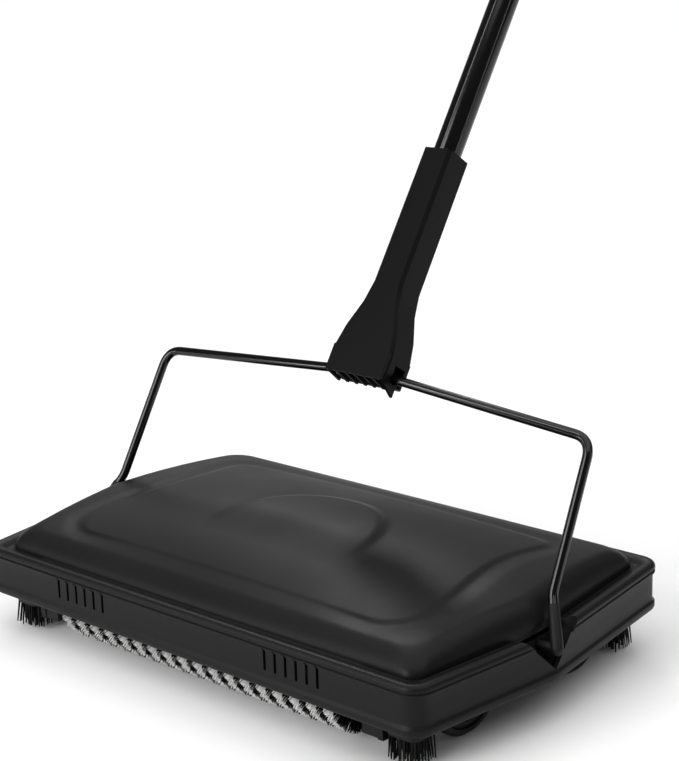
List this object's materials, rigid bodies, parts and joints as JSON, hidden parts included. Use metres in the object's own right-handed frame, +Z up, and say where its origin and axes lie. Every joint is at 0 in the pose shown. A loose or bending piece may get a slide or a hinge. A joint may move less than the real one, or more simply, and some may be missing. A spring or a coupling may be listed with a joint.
{
  "type": "carpet sweeper",
  "caption": "Push-along carpet sweeper: low crowned case on wheels, bristle rollers front and back, corner brushes, dust pans with drop-down doors, swinging wire bail and a screw-together pole.",
  "frame": {"origin": "on the floor under the centre of the bounding box", "axes": "+X towards the right-hand end of the case, +Y to the rear where the pole leans, +Z up"},
  "size_m": [0.2942, 0.6272, 0.8553],
  "materials": {
    "shell_plastic": "moulded black plastic with a low sheen",
    "frame_plastic": "plain black moulded plastic",
    "rubber": "soft black rubber",
    "black_enamel": "gloss black enamel on steel",
    "steel": "plain zinc-plated steel",
    "black_bristle": "stiff black bristle",
    "mixed_bristle": "black and white bristle in spiral rows",
    "grip_plastic": "fine-textured black plastic"
  },
  "bodies": {
    "head": {"top_cover": "shell_plastic", "chassis": "frame_plastic", "cover_screw_front_left": "steel", "cover_screw_front_right": "steel", "cover_screw_rear_left": "steel", "cover_screw_rear_right": "steel", "corner_brush_holder_front_left": "frame_plastic", "corner_brush_holder_front_right": "frame_plastic", "corner_brush_holder_rear_left": "frame_plastic", "corner_brush_holder_rear_right": "frame_plastic", "corner_brush_bristles_front_left": "black_bristle", "corner_brush_bristles_front_right": "black_bristle", "corner_brush_bristles_rear_left": "black_bristle", "corner_brush_bristles_rear_right": "black_bristle", "pan_hinge_pin_front": "steel", "pan_hinge_pin_rear": "steel", "pan_spring_front": "steel", "pan_spring_rear": "steel"},
    "wheel_front_left": {"wheel_hub_front_left": "frame_plastic", "wheel_tyre_front_left": "rubber", "wheel_axle_front_left": "steel", "wheel_drum_front_left": "rubber"},
    "wheel_front_right": {"wheel_hub_front_right": "frame_plastic", "wheel_tyre_front_right": "rubber", "wheel_axle_front_right": "steel", "wheel_drum_front_right": "rubber"},
    "wheel_rear_left": {"wheel_hub_rear_left": "frame_plastic", "wheel_tyre_rear_left": "rubber", "wheel_axle_rear_left": "steel", "wheel_drum_rear_left": "rubber"},
    "wheel_rear_right": {"wheel_hub_rear_right": "frame_plastic", "wheel_tyre_rear_right": "rubber", "wheel_axle_rear_right": "steel", "wheel_drum_rear_right": "rubber"},
    "roller_front": {"roller_shaft_front": "steel", "roller_core_front": "frame_plastic", "roller_bristles_front": "mixed_bristle", "roller_drum_front_left": "rubber", "roller_drum_front_right": "rubber"},
    "roller_rear": {"roller_shaft_rear": "steel", "roller_core_rear": "frame_plastic", "roller_bristles_rear": "mixed_bristle", "roller_drum_rear_left": "rubber", "roller_drum_rear_right": "rubber"},
    "pan_front": {"pan_door_front": "frame_plastic", "pan_release_tab": "frame_plastic"},
    "pan_rear": {"pan_door_rear": "frame_plastic"},
    "handle": {"bail_wire": "black_enamel", "bail_foot_left": "frame_plastic", "bail_foot_right": "frame_plastic", "handle_socket": "shell_plastic", "pole_lower": "black_enamel", "pole_insert_lower": "frame_plastic", "pole_middle": "black_enamel", "pole_insert_middle": "frame_plastic", "pole_upper": "black_enamel", "pole_insert_upper": "frame_plastic", "hand_grip": "grip_plastic", "hang_loop": "grip_plastic"}
  },
  "joints": [
    {"name": "handle_swing", "type": "hinge", "parent": "head", "child": "handle", "pos_m": [0, -0.23158, 0.0334], "axis": [1, 0, 0], "range_deg": [-24, 74]},
    {"name": "roller_front_spin", "type": "hinge", "parent": "head", "child": "roller_front", "pos_m": [0, -0.28938, 0.0201], "axis": [1, 0, 0], "continuous": true},
    {"name": "wheel_front_left_spin", "type": "hinge", "parent": "head", "child": "wheel_front_left", "pos_m": [-0.115, -0.26298, 0.023], "axis": [1, 0, 0], "continuous": true},
    {"name": "wheel_front_right_spin", "type": "hinge", "parent": "head", "child": "wheel_front_right", "pos_m": [0.115, -0.26298, 0.023], "axis": [1, 0, 0], "continuous": true},
    {"name": "roller_rear_spin", "type": "hinge", "parent": "head", "child": "roller_rear", "pos_m": [0, -0.15778, 0.0201], "axis": [1, 0, 0], "continuous": true},
    {"name": "wheel_rear_left_spin", "type": "hinge", "parent": "head", "child": "wheel_rear_left", "pos_m": [-0.115, -0.18418, 0.023], "axis": [1, 0, 0], "continuous": true},
    {"name": "wheel_rear_right_spin", "type": "hinge", "parent": "head", "child": "wheel_rear_right", "pos_m": [0.115, -0.18418, 0.023], "axis": [1, 0, 0], "continuous": true},
    {"name": "pan_front_hinge", "type": "hinge", "parent": "head", "child": "pan_front", "pos_m": [0, -0.22858, 0.01], "axis": [1, 0, 0], "range_deg": [0, 60], "stiffness_Nm_per_rad": 0.012, "springref_deg": -68.75},
    {"name": "pan_rear_hinge", "type": "hinge", "parent": "head", "child": "pan_rear", "pos_m": [0, -0.21858, 0.01], "axis": [1, 0, 0], "range_deg": [-60, 0], "stiffness_Nm_per_rad": 0.012, "springref_deg": 68.75}
  ],
  "couplings": [
    {"joint": "wheel_front_left_spin", "follows": "roller_front_spin", "ratio": -0.42256},
    {"joint": "wheel_front_right_spin", "follows": "roller_front_spin", "ratio": -0.42256},
    {"joint": "wheel_rear_left_spin", "follows": "roller_rear_spin", "ratio": -0.42256},
    {"joint": "wheel_rear_right_spin", "follows": "roller_rear_spin", "ratio": -0.42256},
    {"joint": "pan_rear_hinge", "follows": "pan_front_hinge", "ratio": -1}
  ]
}
